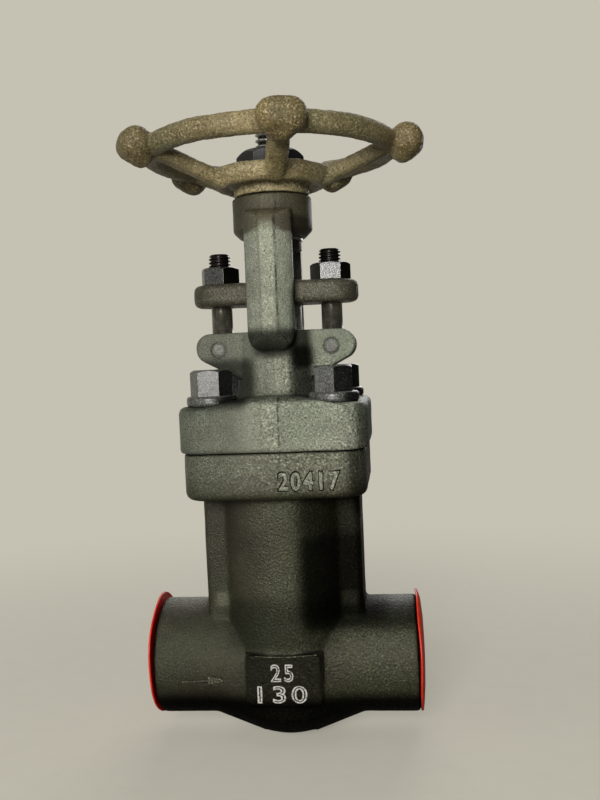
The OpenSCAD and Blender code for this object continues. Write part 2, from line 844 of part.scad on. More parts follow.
// An eye on a pin, a plain shank and a thread that starts inside the gland flange
module eye_bolt(side) {
  thread_z = gland_rise + pin_drop + 1;
  tip = 1;
  color(bright_steel)
    at_stem() translate([side * eye_pitch / 2, 0, pin_z]) difference() {
      union() {
        translate([0, eye_t / 2, 0]) rotate([90, 0, 0]) cylinder(d = eye_d, h = eye_t);
        cylinder(d = shank_d, h = thread_z + eps);
        translate([0, 0, thread_z]) cylinder(d = eye_thread_d, h = eye_len - thread_z - tip);
        translate([0, 0, eye_len - tip - eps])
          cylinder(d1 = eye_thread_d, d2 = eye_thread_d - 2 * tip, h = tip + eps);
      }
      translate([0, eye_t, 0]) rotate([90, 0, 0]) cylinder(d = pin_d, h = 2 * eye_t);
    }
}

module eye_bolt_left() {
  eye_bolt(-1);
}

module eye_bolt_right() {
  eye_bolt(1);
}

module eye_pin(side) {
  color(dark_steel)
    at_stem()
      translate([side * eye_pitch / 2, lug_t / 2, pin_z]) rotate([90, 0, 0]) cylinder(d = pin_d, h = lug_t);
}

module eye_pin_left() {
  eye_pin(-1);
}

module eye_pin_right() {
  eye_pin(1);
}

// Bellows, stem and disc

// Half a ring in plan, open to one side, as the wall bends at a crest or a root
module bend(r, side) {
  intersection() {
    difference() {
      circle(r);
      circle(r - bellows_wall);
    }
    translate([side > 0 ? -eps : -r, -r]) square([r + eps, 2 * r]);
  }
}

// Half section of the bellows: convolutions of constant wall with round crests and roots
module bellows_section() {
  pitch = (bellows_top_z - bellows_z) / convolutions;
  bend_r = pitch / 4 + bellows_wall / 2;
  root = bellows_id / 2 + bend_r;
  crest = bellows_od / 2 - bend_r;
  intersection() {
    translate([0, bellows_z]) square([bellows_od, bellows_top_z - bellows_z]);
    for (i = [0 : convolutions])
      translate([0, bellows_z + i * pitch]) {
        translate([root, 0]) bend(bend_r, -1);
        translate([crest, -pitch / 2]) bend(bend_r, 1);
        for (z = [-1, 1])
          translate([root, z * pitch / 4 - bellows_wall / 2]) square([crest - root, bellows_wall]);
      }
  }
}

module bellows() {
  color(bright_steel) at_stem() rotate_extrude() bellows_section();
}

module bellows_clamp_ring() {
  neck = bellows_id + 4 * bellows_wall;
  color(bright_steel)
    at_stem() difference() {
      union() {
        translate([0, 0, clamp_z]) cylinder(d = clamp_ring_d, h = clamp_ring_t);
        translate([0, 0, bellows_top_z]) cylinder(d = neck, h = clamp_neck_h + 1);
      }
      translate([0, 0, bellows_top_z - 1]) cylinder(d = bellows_id, h = clamp_neck_h + clamp_ring_t + 2);
    }
}

module bellows_foot_ring() {
  color(bright_steel)
    at_stem() ring(bellows_id + 4 * bellows_wall, stem_d, foot_ring_z, bellows_z);
}

module stem() {
  tip = 1;
  cone = 2;
  button_z = disc_top_z - button_h - face_gap;
  foot_z = disc_top_z + disc_nut_h / 2 + face_gap;
  color(bright_steel)
    at_stem() difference() {
      union() {
        translate([0, 0, button_z]) cylinder(d = button_d, h = button_h);
        translate([0, 0, button_z]) cylinder(d = button_d - 2, h = foot_z - button_z + 1);
        translate([0, 0, foot_z]) cylinder(d = stem_d, h = stem_top_z - tip - foot_z);
        translate([0, 0, stem_top_z - tip - eps])
          cylinder(d1 = stem_d, d2 = stem_d - 2 * tip, h = tip + eps);
        translate([0, 0, shoulder_top_z - shoulder_h]) cylinder(d = shoulder_d, h = shoulder_h - cone);
        translate([0, 0, shoulder_top_z - cone - eps])
          cylinder(d1 = shoulder_d, d2 = shoulder_d - 2 * cone, h = cone + eps);
      }
      translate([stem_r - key_depth, -key_w / 2 - run_gap, key_z - lift - 1])
        cube([stem_r, key_w + 2 * run_gap, key_h + lift + 2]);
    }
}

module disc() {
  pocket = button_h + 2 * face_gap;
  color(bright_steel)
    at_stem() difference() {
      union() {
        translate([0, 0, seat_z]) cylinder(d = disc_d, h = disc_h);
        translate([0, 0, seat_z - plug_h])
          cylinder(d1 = seat_bore - 2, d2 = seat_bore - 2 * run_gap, h = plug_h + eps);
      }
      translate([0, 0, disc_top_z - pocket]) cylinder(d = button_d + 2 * run_gap, h = pocket + 1);
    }
}

module disc_nut() {
  color(bright_steel)
    at_stem() difference() {
      translate([0, 0, disc_top_z]) hex_block(disc_nut_af, disc_nut_h, nut_bevel);
      translate([0, 0, disc_top_z - 1])
        cylinder(d = button_d - 2 + 2 * run_gap, h = disc_nut_h / 2 + 1 + eps);
      translate([0, 0, disc_top_z + disc_nut_h / 2]) cylinder(d = stem_d + 2 * run_gap, h = disc_nut_h);
    }
}

// Drive

module yoke_sleeve() {
  tip = 1;
  color(bronze)
    at_stem() difference() {
      union() {
        translate([0, 0, sleeve_shoulder_z - sleeve_flange_h])
          cylinder(d = sleeve_flange_d, h = sleeve_flange_h);
        translate([0, 0, sleeve_shoulder_z - eps])
          cylinder(d = journal_d, h = hub_z - sleeve_shoulder_z + eps);
        translate([0, 0, hub_z - eps]) linear_extrude(hub_top_z - 2 - hub_z + eps) hexagon(drive_af);
        translate([0, 0, hub_top_z - 2 - eps])
          cylinder(d = sleeve_thread_d, h = sleeve_top_z - tip - hub_top_z + 2 + eps);
        translate([0, 0, sleeve_top_z - tip - eps])
          cylinder(d1 = sleeve_thread_d, d2 = sleeve_thread_d - 2 * tip, h = tip + eps);
      }
      translate([0, 0, sleeve_shoulder_z - sleeve_flange_h - 1])
        cylinder(d = stem_d + 2 * run_gap, h = sleeve_top_z - sleeve_shoulder_z + sleeve_flange_h + 2);
    }
}

module thrust_washer() {
  color(bright_steel)
    at_stem() ring(sleeve_flange_d + 1, journal_d, sleeve_shoulder_z, thrust_top_z);
}

// Half section of the handwheel's hub: a boss, a recess and a round lip that hangs below the plate
module hub_section() {
  plate_r = plate_d / 2;
  boss_r = boss_d / 2;
  boss_top = hub_z + boss_h;
  edge_z = hub_top_z - plate_t;
  lip_z = edge_z - 2.5;
  polygon([
    [0, hub_z], [boss_r - 0.6, hub_z], [boss_r, hub_z + 0.6], [boss_r, boss_top - 0.5],
    [boss_r + 1.2, boss_top + 0.8], [boss_r + 2.4, boss_top + 0.8], [plate_r - 5.6, lip_z + 0.5],
    [plate_r - 4.6, lip_z], [plate_r - 3.2, lip_z], [plate_r - 2, lip_z + 0.7],
    [plate_r - 1, edge_z - 0.3], [plate_r - 1, edge_z + 0.3], [plate_r, edge_z + 1],
    [plate_r, hub_top_z - 1.2], [plate_r - 0.5, hub_top_z - 0.3], [plate_r - 1.6, hub_top_z],
    [wheel_nut_af / 2 + 3, hub_top_z - 0.8], [wheel_nut_af / 2 + 2, hub_top_z], [0, hub_top_z]
  ]);
}

// One spoke: a flat-sided bar with round edges that climbs from the hub to the rim
module spoke() {
  root_r = plate_d / 2 - 5;
  root_z = head_top_z + spoke_root_rise;
  climb = rim_z - root_z - spoke_sag;
  slope = atan2(climb, rim_r - root_r);
  translate([root_r, 0, root_z])
    rotate([0, 90 - slope, 0])
      linear_extrude((rim_r - root_r) / cos(slope)) round_rect(spoke_h, spoke_w, spoke_h / 2 - eps);
}

// One knob where a spoke meets the rim, wide above and narrow below
module knob() {
  side = knob_w / 2 - knob_r;
  translate([knob_reach, 0, rim_z])
    hull() {
      for (y = [-side, side])
        translate([0, y, 0]) sphere(r = knob_r, $fn = 28);
      translate([-knob_lean, 0, -knob_fall]) sphere(r = knob_foot_r, $fn = 28);
    }
}

module handwheel() {
  color(gold_iron)
    at_stem() difference() {
      union() {
        translate([0, 0, rim_z]) rotate_extrude() translate([rim_r, 0]) circle(d = rim_bar_d);
        rotate_extrude() hub_section();
        for (i = [0 : spoke_count - 1])
          rotate(spoke_turn + i * 360 / spoke_count) {
            spoke();
            knob();
          }
      }
      translate([0, 0, hub_z - 1]) linear_extrude(hub_rise + 2) hexagon(drive_af + 2 * run_gap);
    }
}

// A nut with a bevelled shoulder and a faintly coned top
module wheel_nut() {
  corner_r = wheel_nut_af / cos(30) / 2;
  shoulder_r = 0.94 * wheel_nut_af / 2;
  bevel_h = 2.2;
  cone_h = 0.7;
  bevel_z = wheel_nut_h - bevel_h - cone_h;
  color(dark_steel)
    at_stem() translate([0, 0, hub_top_z]) difference() {
      intersection() {
        linear_extrude(wheel_nut_h) rotate(8) hexagon(wheel_nut_af);
        rotate_extrude()
          polygon([
            [0, -1], [corner_r + 1, -1], [corner_r + 1, bevel_z - 0.8], [shoulder_r, wheel_nut_h - cone_h],
            [sleeve_thread_d / 2 + 0.8, wheel_nut_h], [0, wheel_nut_h]
          ]);
      }
      translate([0, 0, -1]) cylinder(d = sleeve_thread_d, h = wheel_nut_h + 2);
    }
}

// End caps

// Half section of a loose plastic cap: a domed disc on a short skirt over the end of the run
module cap_section() {
  r = cap_d / 2;
  ball = (r * r + cap_dome * cap_dome) / (2 * cap_dome);
  inner = run_r + cap_ride + run_gap;
  disc_z = cap_gap + cap_stand;
  difference() {
    union() {
      translate([inner, -cap_skirt]) square([cap_wall, cap_skirt + disc_z + eps]);
      translate([0, disc_z])
        intersection() {
          square([r, cap_wall + cap_dome]);
          translate([0, cap_wall + cap_dome - ball]) circle(r = ball, $fn = 720);
        }
    }
    intersection() {
      translate([-1, disc_z - 1]) square([inner, cap_dome + 2]);
      translate([0, disc_z + cap_dome - ball]) circle(r = ball, $fn = 720);
    }
  }
}

module end_cap() {
  translate([-run_half, 0, cap_ride]) rotate([0, -90, 0]) rotate_extrude() cap_section();
}

module inlet_cap() {
  color(cap_red) at_stem() end_cap();
}

module outlet_cap() {
  color(cap_red) at_stem() mirror([1, 0, 0]) end_cap();
}

body();
seat_ring();
bonnet_gasket();
bonnet();
bonnet_screws();
backseat_bush();
stem_key();
packing_washer();
packing_rings();
gland_bush();
gland_flange();
gland_nut_left();
gland_nut_right();
eye_bolt_left();
eye_bolt_right();
eye_pin_left();
eye_pin_right();
bellows();
bellows_clamp_ring();
bellows_foot_ring();
stem();
disc();
disc_nut();
yoke_sleeve();
thrust_washer();
handwheel();
wheel_nut();
inlet_cap();
outlet_cap();
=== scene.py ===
import math

import bmesh
import bpy
from mathutils import Matrix, Vector


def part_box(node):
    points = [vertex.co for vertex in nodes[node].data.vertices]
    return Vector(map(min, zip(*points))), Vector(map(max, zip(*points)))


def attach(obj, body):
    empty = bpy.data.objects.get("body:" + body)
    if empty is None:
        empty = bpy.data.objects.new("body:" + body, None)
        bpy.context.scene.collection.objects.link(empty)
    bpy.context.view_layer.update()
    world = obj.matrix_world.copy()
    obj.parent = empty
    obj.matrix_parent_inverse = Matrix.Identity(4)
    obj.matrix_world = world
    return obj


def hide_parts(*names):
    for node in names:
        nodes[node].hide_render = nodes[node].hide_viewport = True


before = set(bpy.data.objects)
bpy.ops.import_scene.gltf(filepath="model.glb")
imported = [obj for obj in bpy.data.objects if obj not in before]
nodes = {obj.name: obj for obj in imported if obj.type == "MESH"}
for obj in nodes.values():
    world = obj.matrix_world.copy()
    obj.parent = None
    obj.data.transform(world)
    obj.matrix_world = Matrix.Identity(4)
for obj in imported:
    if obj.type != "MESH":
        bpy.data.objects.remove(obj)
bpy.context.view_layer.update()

# The bellows seal globe valve as the photograph shows it. Lengths are in metres, in the frame's own axes:
# +X along the flow, +Z up the stem, -Y to the front with the number pad.

MM = 0.001


def middle(node):
    """The middle of a CAD node's box."""
    low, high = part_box(node)
    return (low + high) / 2


stem_x = middle("stem").x
PIPE_RADIUS_MM, FACE_TO_FACE_MM = 24.4, 111
pipe_r = (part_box("body")[1].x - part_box("body")[0].x) * PIPE_RADIUS_MM / FACE_TO_FACE_MM
floor_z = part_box("body")[0].z


# Camera, lights and floor

def photo_camera():
    """The photograph's camera, found by fitting the pipe run, flanges, pins and handwheel to the picture."""
    place = Vector((stem_x + 49.7 * MM, -387.0 * MM, 127.5 * MM))
    yaw, pitch, roll = 0.106, -0.0434, 0.0422
    turn = Matrix.Rotation(yaw, 3, "Z") @ Matrix.Rotation(pitch, 3, "X") @ Matrix.Rotation(roll, 3, "Y")
    right, ahead, up = turn.col
    focal_px, frame_px, sensor = 900, 800, 36
    data = bpy.data.cameras.new("photo_camera")
    data.sensor_width = sensor
    data.lens = focal_px / frame_px * sensor
    data.clip_start = 10 * MM
    camera = bpy.data.objects.new("photo_camera", data)
    camera.matrix_world = Matrix.Translation(place) @ Matrix((right, up, -ahead)).transposed().to_4x4()
    bpy.context.scene.collection.objects.link(camera)
    bpy.context.scene.camera = camera


def soft_light(name, azimuth, elevation, distance, size, power, colour=(1, 1, 1)):
    """A square lamp that faces the middle of the valve. Azimuth 0 is in front and grows to the right."""
    a, e = math.radians(azimuth), math.radians(elevation)
    aim = Vector((stem_x, 0, 100 * MM))
    away = Vector((math.sin(a) * math.cos(e), -math.cos(a) * math.cos(e), math.sin(e)))
    data = bpy.data.lights.new(name, "AREA")
    data.size = size
    data.energy = power
    data.color = colour
    lamp = bpy.data.objects.new(name, data)
    facing = away.to_track_quat("Z", "Y").to_matrix().to_4x4()
    lamp.matrix_world = Matrix.Translation(aim + distance * away) @ facing
    bpy.context.scene.collection.objects.link(lamp)


BACKDROP = (0.56, 0.535, 0.45, 1)


def largest(tree, first, *others):
    """The largest of some values."""
    total = first
    for other in others:
        most = tree.nodes.new("ShaderNodeMath")
        most.operation = "MAXIMUM"
        tree.links.new(total, most.inputs[0])
        tree.links.new(other, most.inputs[1])
        total = most.outputs[0]
    return total


def seen_directly(tree):
    """1 for rays from the camera and for reflections and refractions, 0 for light on rough surfaces."""
    path = tree.nodes.new("ShaderNodeLightPath").outputs
    return largest(tree, path["Is Camera Ray"], path["Is Glossy Ray"], path["Is Transmission Ray"])


def pale_world(strength):
    """A pale backdrop all round for the camera. Reflections show it behind and to the left, and a dim room
    elsewhere, as dim as the photo's reflections are."""
    world = bpy.data.worlds.new("pale_world")
    world.use_nodes = True
    tree = world.node_tree
    tree.nodes.clear()
    soft, plain, mix, out, place, split, dim, side, both, shade = (tree.nodes.new(kind) for kind in (
        "ShaderNodeBackground", "ShaderNodeBackground", "ShaderNodeMixShader", "ShaderNodeOutputWorld",
        "ShaderNodeTexCoord", "ShaderNodeSeparateXYZ", "ShaderNodeMapRange", "ShaderNodeMapRange",
        "ShaderNodeMath", "ShaderNodeMath"))
    soft.inputs["Color"].default_value = (1.0, 0.98, 0.94, 1)
    soft.inputs["Strength"].default_value = strength
    plain.inputs["Color"].default_value = BACKDROP
    tree.links.new(place.outputs["Generated"], split.inputs[0])
    for socket, number in zip(dim.inputs[1:], (0.0, 0.8, 0.06, 1)):
        socket.default_value = number
    for socket, number in zip(side.inputs[1:], (-0.2, 0.5, 1, 0.08)):
        socket.default_value = number
    tree.links.new(split.outputs["Y"], dim.inputs[0])
    tree.links.new(split.outputs["X"], side.inputs[0])
    both.operation = "MULTIPLY"
    shade.operation = "MAXIMUM"
    tree.links.new(dim.outputs[0], both.inputs[0])
    tree.links.new(side.outputs[0], both.inputs[1])
    tree.links.new(both.outputs[0], shade.inputs[0])
    tree.links.new(tree.nodes.new("ShaderNodeLightPath").outputs["Is Camera Ray"], shade.inputs[1])
    tree.links.new(shade.outputs[0], plain.inputs["Strength"])
    tree.links.new(seen_directly(tree), mix.inputs[0])
    tree.links.new(soft.outputs[0], mix.inputs[1])
    tree.links.new(plain.outputs[0], mix.inputs[2])
    tree.links.new(mix.outputs[0], out.inputs["Surface"])
    bpy.context.scene.world = world


def pale_floor():
    """A round floor that keeps the valve's shadow near it and fades into the backdrop further out. It is
    darker for all rays that don't come from the camera, so that it throws less light on the valve."""
    radius, near, far = 3.0, 0.10, 0.55
    unseen_share = 0.3
    mesh = bpy.data.meshes.new("floor")
    shape = bmesh.new()
    bmesh.ops.create_circle(shape, cap_ends=True, segments=96, radius=radius)
    bmesh.ops.translate(shape, verts=shape.verts, vec=(stem_x, 0, floor_z))
    shape.to_mesh(mesh)
    shape.free()
    floor = bpy.data.objects.new("floor", mesh)
    bpy.context.scene.collection.objects.link(floor)
    finish = Finish("floor")
    tree = finish.tree
    foam = finish.colour_mix(finish.noise(9, 3), (0.60, 0.575, 0.49), (0.66, 0.63, 0.54))
    tree.nodes.remove(finish.shader)
    matte, glow, fade = (tree.nodes.new(kind) for kind in (
        "ShaderNodeBsdfDiffuse", "ShaderNodeEmission", "ShaderNodeMixShader"))
    path = tree.nodes.new("ShaderNodeLightPath").outputs
    seen = finish.maths("MAXIMUM", path["Is Camera Ray"], unseen_share)
    tree.links.new(finish.shade(foam, seen), matte.inputs["Color"])
    glow.inputs["Color"].default_value = BACKDROP
    away = finish.length(finish.place, (stem_x, 0, floor_z))
    not_right = finish.ramp(finish.axis("X"), 0, 0.3, 1, 0.1)
    behind = finish.maths("MULTIPLY", finish.ramp(finish.axis("Y"), -0.1, 0.4), not_right)
    to_camera = finish.maths("MULTIPLY", finish.ramp(away, near, far, 0.45, 1), path["Is Camera Ray"])
    far_behind = finish.maths("MULTIPLY", finish.ramp(away, near, far), behind)
    mirrored = finish.maths("MULTIPLY", far_behind, seen_directly(tree))
    tree.links.new(largest(tree, to_camera, mirrored), fade.inputs[0])
    tree.links.new(matte.outputs[0], fade.inputs[1])
    tree.links.new(glow.outputs[0], fade.inputs[2])
    tree.links.new(fade.outputs[0], tree.nodes["Material Output"].inputs["Surface"])
    mesh.materials.append(finish.material)


# Finishes

class Finish:
    """A node material, with short calls for the steps that the finishes here share.
    Patterns stay with the piece."""

    def __init__(self, name, metallic=0.0, specular=0.5):
        self.material = bpy.data.materials.new(name)
        self.material.use_nodes = True
        self.tree = self.material.node_tree
        self.shader = self.tree.nodes["Principled BSDF"]
        self.shader.inputs["Metallic"].default_value = metallic
        self.shader.inputs["Specular IOR Level"].default_value = specular
        self.place = self.tree.nodes.new("ShaderNodeTexCoord").outputs["Object"]

    def put(self, value, socket):
        """Links an output to a socket, or sets the socket to a plain number or colour."""
        if isinstance(value, bpy.types.NodeSocket):
            self.tree.links.new(value, socket)
        elif isinstance(value, (tuple, list)) and socket.type == "RGBA":
            socket.default_value = (*value[:3], 1)
        else:
            socket.default_value = value

    def maths(self, operation, a, b=0.0):
        node = self.tree.nodes.new("ShaderNodeMath")
        node.operation = operation
        self.put(a, node.inputs[0])
        self.put(b, node.inputs[1])
        return node.outputs[0]

    def length(self, point, centre):
        node = self.tree.nodes.new("ShaderNodeVectorMath")
        node.operation = "DISTANCE"
        self.put(point, node.inputs[0])
        self.put(Vector(centre), node.inputs[1])
        return node.outputs["Value"]

    def axis(self, name):
        """One coordinate of the place on the piece: X, Y or Z."""
        node = self.tree.nodes.new("ShaderNodeSeparateXYZ")
        self.put(self.place, node.inputs[0])
        return node.outputs[name]

    def from_stem(self):
        """Distance from the stem's axis."""
        x = self.maths("SUBTRACT", self.axis("X"), stem_x)
        y = self.axis("Y")
        squares = self.maths("ADD", self.maths("MULTIPLY", x, x), self.maths("MULTIPLY", y, y))
        return self.maths("SQRT", squares)

    def ramp(self, value, low, high, start=0.0, end=1.0):
        node = self.tree.nodes.new("ShaderNodeMapRange")
        node.interpolation_type = "SMOOTHSTEP"
        for socket, number in zip(node.inputs, (value, low, high, start, end)):
            self.put(number, socket)
        return node.outputs[0]

    def noise(self, grain_mm, detail=2.0, roughness=0.5, stretch=(1, 1, 1)):
        """Soft noise whose lumps are about that many millimetres across."""
        where = self.tree.nodes.new("ShaderNodeMapping")
        where.inputs["Scale"].default_value = stretch
        self.put(self.place, where.inputs["Vector"])
        node = self.tree.nodes.new("ShaderNodeTexNoise")
        self.put(where.outputs[0], node.inputs["Vector"])
        node.inputs["Scale"].default_value = 1 / (grain_mm * MM)
        node.inputs["Detail"].default_value = detail
        node.inputs["Roughness"].default_value = roughness
        return node.outputs["Fac"]

    def cells(self, size_mm):
        """Distance to the nearest of many scattered points, 0 at a point and about 1 between them."""
        node = self.tree.nodes.new("ShaderNodeTexVoronoi")
        self.put(self.place, node.inputs["Vector"])
        node.inputs["Scale"].default_value = 1 / (size_mm * MM)
        return node.outputs["Distance"]

    def colour_mix(self, share, a, b):
        node = self.tree.nodes.new("ShaderNodeMix")
        node.data_type = "RGBA"
        self.put(share, node.inputs["Factor"])
        self.put(a, node.inputs[6])
        self.put(b, node.inputs[7])
        return node.outputs[2]

    def blend(self, share, a, b):
        """a where the share is 0, b where it is 1."""
        return self.maths("ADD", a, self.maths("MULTIPLY", share, self.maths("SUBTRACT", b, a)))

    def shade(self, colour, amount):
        """A colour made darker by an amount below 1, or lighter by one above it."""
        node = self.tree.nodes.new("ShaderNodeMix")
        node.data_type = "RGBA"
        node.blend_type = "MULTIPLY"
        self.put(1.0, node.inputs["Factor"])
        self.put(colour, node.inputs[6])
        self.put(amount, node.inputs[7])
        return node.outputs[2]

    def creases(self, reach_mm):
        """1 on open surface, less in corners."""
        node = self.tree.nodes.new("ShaderNodeAmbientOcclusion")
        node.samples = 6
        node.inputs["Distance"].default_value = reach_mm * MM
        return node.outputs["AO"]

    def facing_right(self, share):
        """1 on faces that look to the left or the front, down to the share on those that look to the right.
        This is shade of the photo's light, fixed to the piece."""
        split = self.tree.nodes.new("ShaderNodeSeparateXYZ")
        self.put(self.tree.nodes.new("ShaderNodeTexCoord").outputs["Normal"], split.inputs[0])
        return self.ramp(split.outputs["X"], 0.25, 0.6, 1, share)

    def soft_corners(self, radius_mm):
        """The surface's direction, with its sharp edges rounded."""
        node = self.tree.nodes.new("ShaderNodeBevel")
        node.samples = 6
        node.inputs["Radius"].default_value = radius_mm * MM
        return node.outputs[0]

    def edges(self, radius_mm):
        """0 on flat surface, up to 1 along sharp edges."""
        node = self.tree.nodes.new("ShaderNodeVectorMath")
        node.operation = "DOT_PRODUCT"
        self.put(self.soft_corners(radius_mm), node.inputs[0])
        self.put(self.tree.nodes.new("ShaderNodeNewGeometry").outputs["Normal"], node.inputs[1])
        return self.ramp(node.outputs["Value"], 0.995, 0.86)

    def bump(self, height, depth_mm, under=None):
        node = self.tree.nodes.new("ShaderNodeBump")
        node.inputs["Distance"].default_value = depth_mm * MM
        self.put(height, node.inputs["Height"])
        if under:
            self.put(under, node.inputs["Normal"])
        return node.outputs[0]

    def set(self, **sockets):
        for name, value in sockets.items():
            self.put(value, self.shader.inputs[name.replace("_", " ")])
        return self.material


def forged_skin(name, dark, light, gain, tint, grain_mm, depth_mm, roughness,
                left=1.0, seam=None, above=None, painted_light_boxes=()):
    """Shot blasted and phosphated forging: ridges and pits like leather, dull patches and painted shade in the
    corners. Ridges are lighter than their ground by the gain. The skin darkens to the left by the share left,
    as painted shade. The seam is a broken line that the dies left, at one place across the flange, the neck
    and the arm each, with a painted highlight on the strip beside it. above holds a height from which another
    colour takes over, that colour and its share. Each painted light box is a box in millimetres (X from the
    stem's axis, Y and Z in the frame), its soft border and the share of the light that it leaves: painted
    shade below 1, a painted highlight above 1. The boxes and the left share hold shade of the photo's light,
    fixed to the piece, and the painted shade darkens the gloss as well as the colour."""
    f = Finish(name)
    x = f.maths("SUBTRACT", f.axis("X"), stem_x)
    y = f.axis("Y")
    z = f.axis("Z")
    right_side = f.ramp(x, -26 * MM, 4 * MM)
    low_down = f.ramp(z, 136 * MM, 126 * MM, 0.25, 1)
    patches = f.ramp(f.noise(22, 4, 0.6), 0.35, 0.65)
    coarse = f.noise(grain_mm, 4, 0.62)
    if left < 1:
        grains = f.blend(f.maths("MULTIPLY", right_side, low_down), f.noise(grain_mm * 0.65, 4, 0.6), coarse)
    else:
        grains = coarse
    craters = f.cells(grain_mm * 1.3)
    colour = f.colour_mix(patches, dark, light)
    colour = f.colour_mix(f.ramp(f.noise(35, 2), 0.42, 0.68, 0, 0.7), colour, tint)
    if above:
        height, other, share = above
        start = f.ramp(y, -22 * MM, -28 * MM, height, height + 7 * MM)
        border = f.ramp(y, -22 * MM, -28 * MM, 1 * MM, 7 * MM)
        climb = f.maths("DIVIDE", f.maths("SUBTRACT", z, start), border)
        colour = f.colour_mix(f.ramp(climb, -1, 1, 0, share), colour, other)
    ridges = f.maths("MULTIPLY", f.ramp(grains, 0.50, 0.66), f.ramp(f.noise(4, 3, 0.6), 0.3, 0.6, 0.5, 1))
    colour = f.shade(colour, f.ramp(ridges, 0, 1, 1, gain))
    colour = f.shade(colour, f.ramp(grains, 0.48, 0.34, 1, 0.25))
    if left < 1:
        colour = f.shade(colour, f.ramp(right_side, 0, 1, left, 1))
    if seam:
        above_neck = f.ramp(z, 136 * MM, 140 * MM, 0, (seam[2] - seam[1]) * MM)
        where = f.maths("ADD", f.ramp(z, 113 * MM, 115 * MM, seam[0] * MM, seam[1] * MM), above_neck)
        off = f.maths("SUBTRACT", x, where)
        strip = f.maths("MULTIPLY", f.ramp(off, -6.6 * MM, -5.4 * MM), f.ramp(off, 0.2 * MM, -0.3 * MM))
        # Painted highlight: the strip beside the seam is painted lighter
        colour = f.shade(colour, f.ramp(strip, 0, 1, 1, 1.22))
        line = f.ramp(f.maths("ABSOLUTE", off), 0.5 * MM, 0.2 * MM)
        broken = f.maths("MULTIPLY", line, f.ramp(f.noise(3, 3), 0.42, 0.58, 0.05, 0.7))
        colour = f.shade(colour, f.maths("SUBTRACT", 1.0, broken))
    # Painted shade: corners and creases darkened, then each painted light box; it darkens colour and gloss
    light_left = f.ramp(f.creases(6), 0.35, 0.90, 0.08, 1)
    for (x0, x1), (y0, y1), (z0, z1), soft, share in painted_light_boxes:
        inside = 1.0
        for across, low, high in ((x, x0, x1), (y, y0, y1), (z, z0, z1)):
            for edge, step in ((low, soft), (high, -soft)):
                inside = f.maths("MULTIPLY", inside, f.ramp(across, edge * MM, (edge + step) * MM))
        light_left = f.maths("MULTIPLY", light_left, f.ramp(inside, 0, 1, 1, share))
    shine = f.ramp(grains, 0.35, 0.7, roughness + 0.10, roughness - 0.08)
    f.set(Specular_Tint=(1, 0.96, 0.80), Specular_IOR_Level=f.maths("MULTIPLY", light_left, 0.6))
    under = f.bump(f.noise(3.2, 3, 0.55), 0.16)
    fine = f.bump(f.maths("ADD", grains, f.maths("MULTIPLY", craters, 0.35)), depth_mm, under)
    return f.set(Base_Color=f.shade(colour, light_left), Roughness=shine, Normal=fine)


def wheel_skin():
    """Bronze coloured paint on a rough iron casting, rubbed bright on its high grains."""
    f = Finish("wheel_skin")
    patches = f.ramp(f.noise(17, 4, 0.6), 0.35, 0.66)
    grains = f.noise(0.8, 4, 0.66)
    away = f.from_stem()
    height = f.axis("Z")
    colour = f.colour_mix(patches, (0.155, 0.122, 0.052), (0.255, 0.205, 0.105))
    colour = f.colour_mix(f.ramp(f.noise(28, 2), 0.45, 0.66, 0, 0.7), colour, (0.125, 0.122, 0.060))
    colour = f.colour_mix(f.ramp(away, 53 * MM, 58 * MM, 0, 0.65), colour, (0.115, 0.080, 0.024))
    colour = f.colour_mix(f.ramp(grains, 0.52, 0.70, 0, 0.8), colour, (0.56, 0.47, 0.27))
    colour = f.colour_mix(f.ramp(grains, 0.47, 0.32, 0, 0.85), colour, (0.022, 0.016, 0.006))
    band = f.maths("MULTIPLY", f.ramp(away, 24.6 * MM, 25.2 * MM), f.ramp(away, 27.2 * MM, 26.4 * MM, 0, 0.5))
    boss_height = f.ramp(height, boss_top - 2.6 * MM, boss_top - 1 * MM, 0.35, 1)
    boss = f.maths("MULTIPLY", f.ramp(away, 17.2 * MM, 16.6 * MM), boss_height)
    rubbed = f.maths("MULTIPLY", f.maths("MAXIMUM", band, boss), f.ramp(grains, 0.44, 0.60, 0, 0.85))
    # Painted light: lighter towards the hub, fading out 48 mm from the stem's axis
    colour = f.shade(colour, f.ramp(away, 30 * MM, 48 * MM, 1.35, 1))
    # Painted light: the spoke that points to the front is painted lighter
    aside = f.maths("ABSOLUTE", f.maths("SUBTRACT", f.axis("X"), stem_x + 1 * MM))
    lit_front_spoke = f.maths("MULTIPLY", f.ramp(aside, 9 * MM, 6 * MM), f.ramp(f.axis("Y"), -24 * MM, -27 * MM))
    colour = f.shade(colour, f.ramp(lit_front_spoke, 0, 1, 1, 1.35))
    # Painted light: the right half is painted lighter
    colour = f.shade(colour, f.ramp(f.axis("X"), stem_x, stem_x + 20 * MM, 1, 1.15))
    colour = f.colour_mix(rubbed, colour, (0.56, 0.48, 0.29))
    # Painted shade in corners and creases
    colour = f.shade(colour, f.ramp(f.creases(5), 0.35, 0.85, 0.12, 1))
    under = f.bump(f.noise(2.6, 3, 0.6), 0.26)
    fine = f.bump(grains, 0.45, under)
    return f.set(Base_Color=colour, Roughness=f.ramp(grains, 0.35, 0.7, 0.62, 0.40), Normal=fine)


